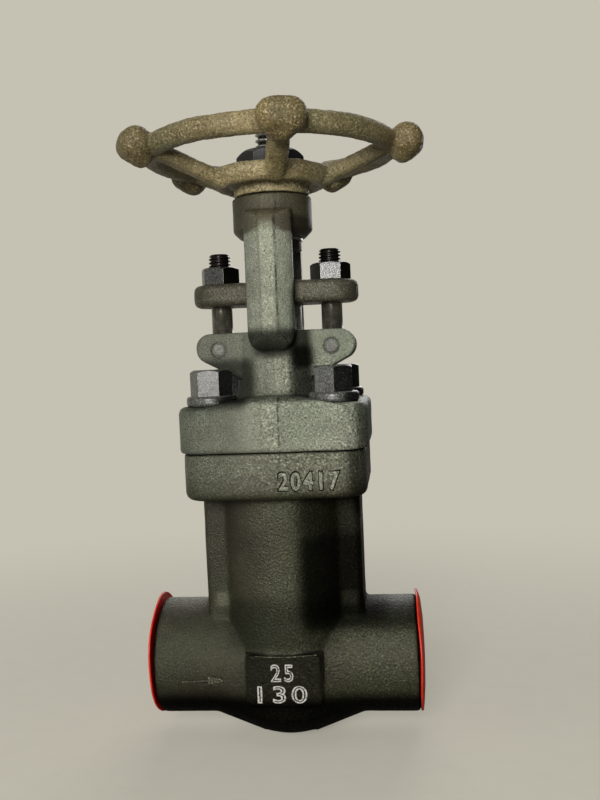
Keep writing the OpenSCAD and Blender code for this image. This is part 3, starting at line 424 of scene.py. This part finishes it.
def black_oxide(name, base, speck, roughness, spots):
    """Oiled black oxide on a forged and machined fastener, with worn edges and pale spots."""
    f = Finish(name, specular=0.8)
    grains = f.noise(0.55, 3, 0.6)
    colour = f.colour_mix(f.ramp(f.noise(5, 3), 0.35, 0.65), base, tuple(c * 1.8 for c in base))
    colour = f.colour_mix(f.ramp(grains, 0.54, 0.70, 0, spots), colour, speck)
    worn = f.maths("MULTIPLY", f.edges(0.4), f.ramp(grains, 0.35, 0.6, 0, 0.7))
    colour = f.colour_mix(worn, colour, (0.12, 0.115, 0.10))
    shaded = f.facing_right(0.15)
    colour = f.shade(colour, shaded)
    f.set(Specular_IOR_Level=f.maths("MULTIPLY", shaded, 0.8))
    fine = f.bump(grains, 0.05, f.bump(f.noise(2.2, 2), 0.06, f.soft_corners(0.4)))
    dull = f.ramp(grains, 0.3, 0.7, roughness - 0.06, roughness + 0.14)
    return f.set(Base_Color=colour, Roughness=dull, Normal=fine)


def turned_steel(name, base, roughness, metallic=0.85):
    """Steel turned on a lathe: fine rings across the axis, a little stained."""
    f = Finish(name, metallic=metallic)
    rings = f.noise(0.6, 2, 0.6, (0.12, 0.12, 1.6))
    stain = f.ramp(f.noise(6, 4, 0.6), 0.4, 0.7)
    colour = f.colour_mix(stain, base, tuple(c * 0.55 for c in base))
    # Painted shade: darker in corners and creases
    colour = f.colour_mix(f.ramp(f.creases(2.5), 0.35, 0.8, 0.3, 1), tuple(c * 0.2 for c in base), colour)
    fine = f.bump(rings, 0.02, f.soft_corners(0.25))
    dull = f.ramp(rings, 0.3, 0.7, roughness - 0.05, roughness + 0.1)
    return f.set(Base_Color=colour, Roughness=dull, Normal=fine)


def eye_bolt_skin():
    """A satin shank under the gland flange, and an oily black thread above it."""
    f = Finish("eye_bolt_skin", metallic=0.7)
    rings = f.noise(0.5, 2, 0.6, (0.15, 0.15, 1.5))
    oily = f.ramp(f.axis("Z"), nut_top - 1 * MM, nut_top)
    shank = f.colour_mix(f.ramp(f.noise(4, 3), 0.35, 0.7), (0.16, 0.15, 0.12), (0.10, 0.092, 0.07))
    colour = f.colour_mix(oily, shank, (0.016, 0.015, 0.013))
    fine = f.bump(rings, 0.02)
    return f.set(Base_Color=colour, Roughness=f.ramp(rings, 0.3, 0.7, 0.25, 0.36), Normal=fine)


def stem_skin():
    """Steel that is dark below the wheel, bright thread crests and dark thread roots above it."""
    f = Finish("stem_skin", metallic=0.9)
    root = f.ramp(f.from_stem(), stem_r - THREAD_DEPTH, stem_r - 0.25 * MM)
    bright = f.colour_mix(f.ramp(f.noise(7, 3), 0.4, 0.7), (0.52, 0.50, 0.46), (0.36, 0.35, 0.31))
    below = f.ramp(f.axis("Z"), wheel_high.z - 14 * MM, wheel_high.z - 12 * MM, 0.10, 1)
    crest = f.shade(bright, below)
    colour = f.colour_mix(root, (0.022, 0.021, 0.018), crest)
    rings = f.noise(0.5, 2, 0.6, (0.15, 0.15, 1.5))
    dull = f.ramp(rings, 0.3, 0.7, 0.24, 0.36)
    return f.set(Base_Color=colour, Roughness=dull, Normal=f.bump(rings, 0.015))


def pin_skin():
    """The upset end of a pin: the lugs' own grey in the middle and a dark ring of painted shade round it."""
    f = Finish("pin_skin")
    grains = f.noise(0.7, 3, 0.6)
    colour = f.colour_mix(f.ramp(grains, 0.35, 0.7), (0.07, 0.072, 0.058), (0.20, 0.205, 0.17))
    # Painted shade: the ring round the pin's end darkened by the crease test
    colour = f.colour_mix(f.ramp(f.creases(0.9), 0.45, 0.9), (0.008, 0.008, 0.007), colour)
    return f.set(Base_Color=colour, Roughness=0.5, Normal=f.bump(grains, 0.12, f.bump(f.noise(2), 0.12)))


def graphite_skin():
    """Pressed graphite: dark, flaky, with a grey sheen."""
    f = Finish("graphite_skin")
    flakes = f.cells(0.8)
    colour = f.colour_mix(flakes, (0.035, 0.035, 0.038), (0.085, 0.085, 0.09))
    return f.set(Base_Color=colour, Roughness=f.ramp(flakes, 0, 1, 0.35, 0.6), Normal=f.bump(flakes, 0.06))


def cap_skin(outward):
    """Bright red moulded plastic, slightly mottled, with painted shade: deeper red on the face that lies
    against the pipe, and darker in its creases.
    """
    f = Finish("cap_skin_" + ("outlet" if outward > 0 else "inlet"), specular=0.35)
    flow = f.noise(6, 3, 0.5)
    split = f.tree.nodes.new("ShaderNodeSeparateXYZ")
    f.put(f.tree.nodes.new("ShaderNodeTexCoord").outputs["Normal"], split.inputs[0])
    colour = f.colour_mix(f.ramp(flow, 0.3, 0.7), (0.70, 0.022, 0.006), (0.84, 0.050, 0.012))
    # Painted shade on the face that looks towards the pipe
    inner_face_shade = f.ramp(split.outputs["X"], -0.2 * outward, -0.8 * outward)
    colour = f.colour_mix(inner_face_shade, colour, (0.66, 0.012, 0.006))
    # Painted shade in creases
    colour = f.shade(colour, f.ramp(f.creases(0.6), 0.3, 0.8, 0.6, 1))
    f.shader.inputs["Subsurface Weight"].default_value = 0.15
    f.shader.inputs["Subsurface Scale"].default_value = 1.5 * MM
    fine = f.bump(flow, 0.08, f.soft_corners(0.3))
    return f.set(Base_Color=colour, Roughness=f.ramp(flow, 0.3, 0.7, 0.38, 0.5), Normal=fine)


def painted_shadow_skin():
    """Painted shadow: dull and nearly black, for the lines where shade falls in a narrow step."""
    f = Finish("painted_shadow_skin", specular=0.05)
    grains = f.noise(0.7, 3, 0.6)
    colour = f.colour_mix(grains, (0.004, 0.004, 0.003), (0.014, 0.013, 0.009))
    return f.set(Base_Color=colour, Roughness=0.85)


def number_paint():
    """Pale grey, broken where the punch marks are worn."""
    f = Finish("number_paint")
    worn = f.ramp(f.noise(0.7, 3, 0.6), 0.36, 0.52)
    colour = f.colour_mix(worn, (0.16, 0.155, 0.13), (0.62, 0.61, 0.56))
    return f.set(Base_Color=colour, Roughness=0.55, Normal=f.bump(worn, 0.04))


# Shapes

def new_piece(name, mesh, body, material, slot, *stands_for):
    """Adds a mesh in the row frame as a piece of the object."""
    mesh.materials.clear()
    mesh.materials.append(material)
    mesh.polygons.foreach_set("material_index", [0] * len(mesh.polygons))
    mesh.polygons.foreach_set("use_smooth", [True] * len(mesh.polygons))
    piece = bpy.data.objects.new(name, mesh)
    bpy.context.scene.collection.objects.link(piece)
    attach(piece, body)
    if stands_for:
        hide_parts(*stands_for)
    return piece


def settled(draft):
    """A draft object's mesh with its modifiers applied; the draft is removed."""
    mesh = bpy.data.meshes.new_from_object(draft.evaluated_get(bpy.context.evaluated_depsgraph_get()))
    mesh.transform(draft.matrix_world)
    bpy.data.objects.remove(draft)
    return mesh


def draft_of(data):
    draft = bpy.data.objects.new("draft", data)
    bpy.context.scene.collection.objects.link(draft)
    bpy.context.view_layer.update()
    return draft


def recast(node, voxel_mm, passes, skin=()):
    """A CAD node as one skin: its corners blended as in a forging or casting, its surface uneven.
    skin holds (size, depth) in millimetres for each kind of unevenness."""
    draft = draft_of(nodes[node].data.copy())
    weld = draft.modifiers.new("weld", "WELD")
    weld.merge_threshold = WELD_DISTANCE
    remesh = draft.modifiers.new("remesh", "REMESH")
    remesh.mode = "VOXEL"
    remesh.voxel_size = voxel_mm * MM
    smooth = draft.modifiers.new("smooth", "SMOOTH")
    smooth.factor = 0.5
    smooth.iterations = passes
    for size, depth in skin:
        lumps = bpy.data.textures.new("lumps", "CLOUDS")
        lumps.noise_scale = size * MM
        lumps.noise_depth = 2
        uneven = draft.modifiers.new("uneven", "DISPLACE")
        uneven.texture = lumps
        uneven.strength = 2 * depth * MM
        uneven.mid_level = 0.5
    bpy.context.view_layer.update()
    return settled(draft)


THREAD_DEPTH = 1.1 * MM
STEM_PITCH, STEM_HAND = 2.5 * MM, -1
BOLT_RADIUS, BOLT_THREAD_DEPTH, BOLT_PITCH, BOLT_HAND = 4.75 * MM, 0.85 * MM, 1.5 * MM, 1
WELD_DISTANCE = 0.002 * MM


def thread_height(phase, flat=0.24):
    """0 in the root and 1 on the crest of a trapezoid thread, over one pitch."""
    away = abs(2 * (phase % 1) - 1)
    return min(1, max(0, (away - flat) / (1 - 2 * flat)))


def threaded_rod(shape, centre, z0, z1, radius, depth, pitch, hand):
    """Adds a rod with a real helical thread from z0 to z1, with a chamfered top end and closed ends."""
    around, steps = 56, max(2, round((z1 - z0) / pitch * 14))
    rows = []
    for i in range(steps + 1):
        z = z0 + (z1 - z0) * i / steps
        row = []
        for k in range(around):
            turn = k / around
            crest = thread_height((z - z0) / pitch - hand * turn)
            r = min(radius - depth * (1 - crest), radius - depth + 0.9 * (z1 - z))
            r = max(r, radius - 1.25 * depth)
            x = centre[0] + r * math.cos(math.tau * turn)
            y = centre[1] + r * math.sin(math.tau * turn)
            row.append(shape.verts.new((x, y, z)))
        rows.append(row)
    for low, high in zip(rows, rows[1:]):
        for k in range(around):
            n = (k + 1) % around
            shape.faces.new((low[k], low[n], high[n], high[k]))
    shape.faces.new(list(reversed(rows[0])))
    shape.faces.new(rows[-1])


def cut_above(shape, z):
    """Removes what lies above z and closes the cut."""
    everything = list(shape.verts) + list(shape.edges) + list(shape.faces)
    bmesh.ops.bisect_plane(shape, geom=everything, plane_co=(0, 0, z), plane_no=(0, 0, 1), clear_outer=True)
    bmesh.ops.holes_fill(shape, edges=[e for e in shape.edges if e.is_boundary])


def with_thread(node, z0, radius, depth, pitch, hand):
    """A CAD bar whose top, from z0 up, carries a real thread instead of a plain cylinder."""
    shape = bmesh.new()
    shape.from_mesh(nodes[node].data)
    bmesh.ops.remove_doubles(shape, verts=shape.verts, dist=WELD_DISTANCE)
    cut_above(shape, z0)
    threaded_rod(shape, middle(node), z0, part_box(node)[1].z, radius, depth, pitch, hand)
    bmesh.ops.recalc_face_normals(shape, faces=shape.faces)
    mesh = bpy.data.meshes.new(node)
    shape.to_mesh(mesh)
    shape.free()
    return mesh


def sharpen(piece, angle=35):
    """Keeps edges over an angle sharp on a smooth piece."""
    piece.data.set_sharp_from_angle(angle=math.radians(angle))


def lathe(profile, centre, axis, around=64):
    """A closed solid turned from (radius, height) points round a line along X or Y through centre."""
    shape = bmesh.new()
    rows = []
    for r, h in profile:
        ring = []
        for k in range(around):
            a = math.tau * k / around
            x, y = r * math.cos(a), r * math.sin(a)
            offset = {"X": (h, x, y), "Y": (x, h, y)}[axis]
            ring.append(shape.verts.new(Vector(centre) + Vector(offset)))
        rows.append(ring)
    for low, high in zip(rows, rows[1:]):
        for k in range(around):
            n = (k + 1) % around
            shape.faces.new((low[k], low[n], high[n], high[k]))
    shape.faces.new(rows[0])
    shape.faces.new(rows[-1])
    bmesh.ops.recalc_face_normals(shape, faces=shape.faces)
    mesh = bpy.data.meshes.new("turned")
    shape.to_mesh(mesh)
    shape.free()
    return mesh


def line_mesh(name, lines, radius_mm):
    """Round raised lines through lists of (point, thickness)."""
    curve = bpy.data.curves.new(name, "CURVE")
    curve.dimensions = "3D"
    curve.bevel_depth = radius_mm * MM
    curve.bevel_resolution = 3
    curve.use_fill_caps = True
    for points in lines:
        spline = curve.splines.new("POLY")
        spline.points.add(len(points) - 1)
        for knot, (point, thick) in zip(spline.points, points):
            knot.co = (*point, 1)
            knot.radius = thick
    return settled(draft_of(curve))


# Pieces

nut_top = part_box("gland_nut_left")[1].z
stem_r = 6 * MM
thread_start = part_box("yoke_sleeve")[0].z - 9 * MM
wheel_low, wheel_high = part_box("handwheel")
boss_top = wheel_low.z + 4.5 * MM


def dress(material, *names):
    """Gives CAD nodes a finish through their own material slots."""
    for name in names:
        node = nodes[name]
        if not node.material_slots:
            node.data.materials.append(material)
        for slot in node.material_slots:
            slot.link = "OBJECT"
            slot.material = material


def flat_digits(text, width, height, place, material, name, slot, stroke_mm, outline=True, depth=0.8):
    """Digits on a face that looks to the front: drawn in double lines, or raised in one piece."""
    curve = bpy.data.curves.new(name, "FONT")
    curve.body = text
    curve.size = 6 * MM
    curve.align_x = "CENTER"
    curve.fill_mode = "NONE" if outline else "BOTH"
    curve.extrude = 0 if outline else 0.3 * MM
    curve.bevel_depth = stroke_mm * MM
    curve.bevel_resolution = 2
    curve.resolution_u = 8
    curve.space_character = 1.25
    mesh = settled(draft_of(curve))
    xs = [v.co.x for v in mesh.vertices]
    ys = [v.co.y for v in mesh.vertices]
    fit = Matrix.Diagonal((width / (max(xs) - min(xs)), height / (max(ys) - min(ys)), depth, 1))
    centre = Matrix.Translation((-(max(xs) + min(xs)) / 2, -(max(ys) + min(ys)) / 2, 0))
    stand = Matrix.Translation(place) @ Matrix.Rotation(math.radians(90), 4, "X")
    mesh.transform(stand @ fit @ centre)
    return new_piece(name, mesh, "valve_body", material, slot)


def flow_arrow(material):
    """The raised arrow on the front of the run, worn bright, which points from the inlet to the outlet."""
    tail, neck, tip = stem_x - 43.5 * MM, stem_x - 32.0 * MM, stem_x - 25.8 * MM
    axis_z, barb = -4.4 * MM, 1.7 * MM

    def on_run(x, z):
        return (x, -math.sqrt((pipe_r + 0.05 * MM) ** 2 - z ** 2), z)

    steps = 8
    shaft = []
    for i in range(steps + 1):
        knot = on_run(tail + (neck - tail) * i / steps, axis_z + 0.5 * MM * i / steps)
        shaft.append((knot, 0.6 + 0.4 * i / steps))
    head = axis_z + 0.5 * MM
    lines = [shaft]
    for share in (1, 0.72, 0.44, 0.16, -0.16, -0.44, -0.72, -1):
        start = on_run(neck - 0.4 * MM, head + share * barb)
        lines.append([(start, 0.9), (on_run(tip - 1.2 * MM * abs(share), head + 0.22 * share * barb), 0.9)])
    new_piece("flow_arrow", line_mesh("flow_arrow", lines, 0.42), "valve_body", material, "forged_body")


def pad_outline(shadow_paint, worn):
    """A painted shadow line where the pad's stamp cut into the barrel and the run, and the pad's worn edge
    below it.
    """
    def run(points, y, radius):
        return [((stem_x + x * MM, y * MM, z * MM), radius) for x, z in points]

    left = run([(-15.4, 9.1), (-13, 8.8), (-10, 8.3), (-7, 7.95), (-4, 7.8)], -27.9, 1.0)
    right = run([(4, 7.9), (8, 8.3), (12, 8.9), (15.3, 9.6)], -27.9, 1.0)
    side = run([(15.9, 9.4), (15.95, 6), (15.95, 2), (15.9, -1), (15.8, -4)], -27.2, 1.2)
    new_piece("pad_shadow_line", line_mesh("pad_shadow_line", [left, right, side], 0.32), "valve_body", shadow_paint, "forged_body")
    edge = run([(-11.5, 7.6), (-7, 7.25), (0, 7.15), (6, 7.35), (11, 7.8), (14, 8.0)], -28.35, 0.8)
    new_piece("pad_edge", line_mesh("pad_edge", [edge], 0.2), "valve_body", worn, "forged_body")


def upset_pin(name, node, material):
    """An eye bolt pin with its ends spread in the lug: a low dome inside a chamfer."""
    low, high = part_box(node)
    half, r = (high.y - low.y) / 2, (high.x - low.x) / 2
    end = [(r, half - 0.55 * MM), (r - 0.42 * MM, half - 0.5 * MM), (r - 0.6 * MM, half + 0.02 * MM),
           (r * 0.6, half + 0.16 * MM), (r * 0.25, half + 0.22 * MM), (0.02 * MM, half + 0.22 * MM)]
    profile = [(a, -h) for a, h in reversed(end)] + end
    piece = new_piece(name, lathe(profile, middle(node), "Y"), "valve_body", material, "plain_steel", node)
    sharpen(piece, 50)


def bent_cap(node, body, outward, material):
    """An end cap with its thin disc a little warped, as soft plastic is."""
    low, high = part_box(node)
    radius = (high.y - low.y) / 2
    face = low.x + 0.6 * MM if outward > 0 else high.x - 0.6 * MM
    centre = Vector((face, 0, (low.z + high.z) / 2))
    rim = radius / MM - 1.0
    inner = [(0.02, 2.2), (10, 2.1), (18, 1.6), (23.6, 0.95), (25, 0.75), (rim - 0.25, 0.6), (rim, 0.8)]
    outer = [(rim, 1.25), (rim - 0.4, 1.5), (22, 2.0), (15, 2.7), (7, 3.0), (0.02, 3.1)]
    mesh = lathe([(r * MM, outward * (h - 0.5) * MM) for r, h in inner + outer], centre, "X", around=96)
    for vertex in mesh.vertices:
        y, z = vertex.co.y, vertex.co.z - centre.z
        reach = (math.hypot(y, z) / radius) ** 4
        turn = math.atan2(z, -y)
        bend = (0.9 if outward < 0 else 0.1) * math.cos(turn) ** 2 + 0.22 * math.sin(5 * turn + 0.9 * outward)
        lean = (1.1 if outward < 0 else -1.7) * max(0, math.sin(turn)) ** 3 * reach ** 4
        vertex.co.x += outward * (bend * reach + lean) * MM
        vertex.co.z += 0.85 * MM * reach
    sharpen(new_piece(node + "_warped", mesh, body, material, "cap_plastic", node), 40)


def build():
    flange_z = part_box("bonnet")[0].z - 19.2 * MM
    head_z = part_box("bonnet")[1].z - 17 * MM
    # Painted shade of the photo's light, and two painted highlights (shares over 1) at the ribs' feet
    body_painted_light = [
        ((-15.6, 15.6), (-31, -27.5), (-14, 8.5), 0.4, 0.3), ((-80, 80), (-60, 40), (-60, -5), 11, 0.06),
        ((-30, 30), (-60, 60), (2, 36), 12, 0.55), ((28, 80), (-70, 70), (60, 110), 5, 0.4),
        ((2, 50), (-80, 20), (12, 80), 12, 0.25), ((4, 90), (-80, 20), (11, 60), 9, 0.35),
        ((-31, -21), (-60, 0), (23, 33), 4, 2.2), ((22, 33), (-60, 0), (23, 33), 4, 3.0)]
    bonnet_painted_shade = [
        ((-40, -5), (-60, 40), (106, 133), 7, 0.25), ((3, 20), (-30, 40), (106, 138), 7, 0.15),
        ((5, 18), (-24, 10), (122, 160), 5, 0.2), ((-16, 16), (-80, -13), (126, 144), 6, 0.15),
        ((32, 80), (-80, 80), (80, 120), 4, 0.4),
        ((-24, 24), (-80, -20), (110.5, 119), 2.5, 0.35), ((5, 24), (-20, 60), (140, 190), 4, 0.4)]
    body_skin = forged_skin(
        "body_skin", dark=(0.021, 0.0195, 0.0105), light=(0.037, 0.0355, 0.020), gain=3.0,
        tint=(0.026, 0.033, 0.015), grain_mm=0.8, depth_mm=0.42, roughness=0.45, left=0.72,
        above=(flange_z, (0.140, 0.150, 0.108), 0.66), painted_light_boxes=body_painted_light)
    bonnet_skin = forged_skin(
        "bonnet_skin", dark=(0.165, 0.174, 0.132), light=(0.240, 0.256, 0.198), gain=2.1,
        tint=(0.140, 0.178, 0.125), grain_mm=0.8, depth_mm=0.40, roughness=0.46, left=0.46,
        seam=(3.6, 6.6, 3.4), above=(head_z, (0.048, 0.039, 0.021), 0.92), painted_light_boxes=bonnet_painted_shade)
    gland_skin = forged_skin(
        "gland_skin", dark=(0.038, 0.034, 0.023), light=(0.062, 0.057, 0.040), gain=3.0,
        tint=(0.065, 0.070, 0.046), grain_mm=0.65, depth_mm=0.24, roughness=0.48)
    screw_skin = black_oxide("screw_skin", (0.040, 0.040, 0.036), (0.40, 0.41, 0.37), 0.30, 0.8)
    nut_skin = black_oxide("nut_skin", (0.012, 0.012, 0.010), (0.10, 0.10, 0.085), 0.28, 0.25)
    wheel_nut_skin = black_oxide("wheel_nut_skin", (0.010, 0.010, 0.009), (0.07, 0.07, 0.06), 0.42, 0.35)
    steel = turned_steel("turned_steel_skin", (0.42, 0.41, 0.38), 0.30)
    bronze = turned_steel("bronze_skin", (0.30, 0.20, 0.08), 0.36)
    wheel = wheel_skin()

    new_piece("body_forging", recast("body", 0.85, 3, [(9, 0.12)]), "valve_body", body_skin,
              "forged_body", "body")
    new_piece("bonnet_forging", recast("bonnet", 0.7, 3, [(7, 0.12)]), "valve_body", bonnet_skin,
              "forged_bonnet", "bonnet")
    new_piece("gland_flange_forging", recast("gland_flange", 0.5, 3, [(5, 0.1)]), "gland", gland_skin,
              "forged_bonnet", "gland_flange")
    new_piece("handwheel_casting", recast("handwheel", 0.6, 4, [(6, 0.3), (1.6, 0.16)]), "wheel", wheel,
              "wheel_iron", "handwheel")

    marks = forged_skin(
        "mark_skin", dark=(0.022, 0.020, 0.013), light=(0.042, 0.039, 0.026), gain=7,
        tint=(0.05, 0.055, 0.035), grain_mm=0.7, depth_mm=0.2, roughness=0.42)
    number_skin = forged_skin(
        "number_skin", dark=(0.11, 0.115, 0.087), light=(0.17, 0.18, 0.136), gain=2.4,
        tint=(0.10, 0.125, 0.085), grain_mm=0.7, depth_mm=0.2, roughness=0.42)
    flow_arrow(marks)
    paint = number_paint()
    pad_y = -28.4 * MM
    flat_digits("25", 9.4 * MM, 7.4 * MM, (stem_x - 0.6 * MM, pad_y, 0.6 * MM), paint,
                "pad_number_top", "forged_body", 0.18)
    flat_digits("130", 20.6 * MM, 7.3 * MM, (stem_x - 0.8 * MM, pad_y, -8.3 * MM), paint,
                "pad_number_low", "forged_body", 0.18)
    # Painted shadow: near black lines along the pad's step and behind the flange number
    shadow_paint = painted_shadow_skin()
    pad_outline(shadow_paint, marks)
    flange_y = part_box("body")[0].y
    place = (stem_x + 14.6 * MM, flange_y, 80.2 * MM)
    # Painted shadow: the number drawn again in thick near black lines, a little larger, behind the raised one
    flat_digits("20417", 25.4 * MM, 8.5 * MM, place, shadow_paint,
                "flange_number_shadow", "forged_body", 0.42, depth=0.15)
    flat_digits("20417", 24.2 * MM, 7.4 * MM, place, number_skin,
                "flange_number", "forged_body", 0.22, outline=False)

    stem_mesh = with_thread("stem", thread_start, stem_r, THREAD_DEPTH, STEM_PITCH, STEM_HAND)
    sharpen(new_piece("stem_threaded", stem_mesh, "stem_unit", stem_skin(), "plain_steel", "stem"))
    bolt_skin = eye_bolt_skin()
    for side in ("left", "right"):
        bolt = f"eye_bolt_{side}"
        mesh = with_thread(bolt, nut_top - 3 * MM, BOLT_RADIUS, BOLT_THREAD_DEPTH, BOLT_PITCH, BOLT_HAND)
        sharpen(new_piece(f"{bolt}_threaded", mesh, "valve_body", bolt_skin, "plain_steel", bolt))
        upset_pin(f"eye_pin_{side}_upset", f"eye_pin_{side}", pin_skin())

    dress(screw_skin, "bonnet_screws")
    dress(nut_skin, "gland_nut_left", "gland_nut_right")
    dress(wheel_nut_skin, "wheel_nut")
    bent_cap("inlet_cap", "inlet_closure", -1, cap_skin(-1))
    bent_cap("outlet_cap", "outlet_closure", 1, cap_skin(1))
    dress(graphite_skin(), "bonnet_gasket", "packing_rings")
    dress(bronze, "backseat_bush")
    # The yoke sleeve gets a far darker bronze than the bush
    dress(turned_steel("dark_bronze_skin", (0.035, 0.024, 0.012), 0.5, metallic=0.4), "yoke_sleeve")
    dress(steel, "seat_ring", "stem_key", "packing_washer", "gland_bush", "bellows", "bellows_clamp_ring",
          "bellows_foot_ring", "disc", "disc_nut", "thrust_washer")


photo_camera()
warm, cool = (1.0, 0.985, 0.94), (0.98, 0.98, 1.0)
soft_light("key", azimuth=-4, elevation=14, distance=0.85, size=0.28, power=6.4, colour=warm)
soft_light("left_fill", azimuth=-58, elevation=14, distance=0.9, size=0.4, power=1.0, colour=cool)
soft_light("top_fill", azimuth=0, elevation=75, distance=0.9, size=0.6, power=0.9)
soft_light("back_fill", azimuth=172, elevation=26, distance=1.0, size=0.7, power=5.0)
pale_world(0.06)
pale_floor()
build()

bpy.context.scene.view_settings.view_transform = "Standard"
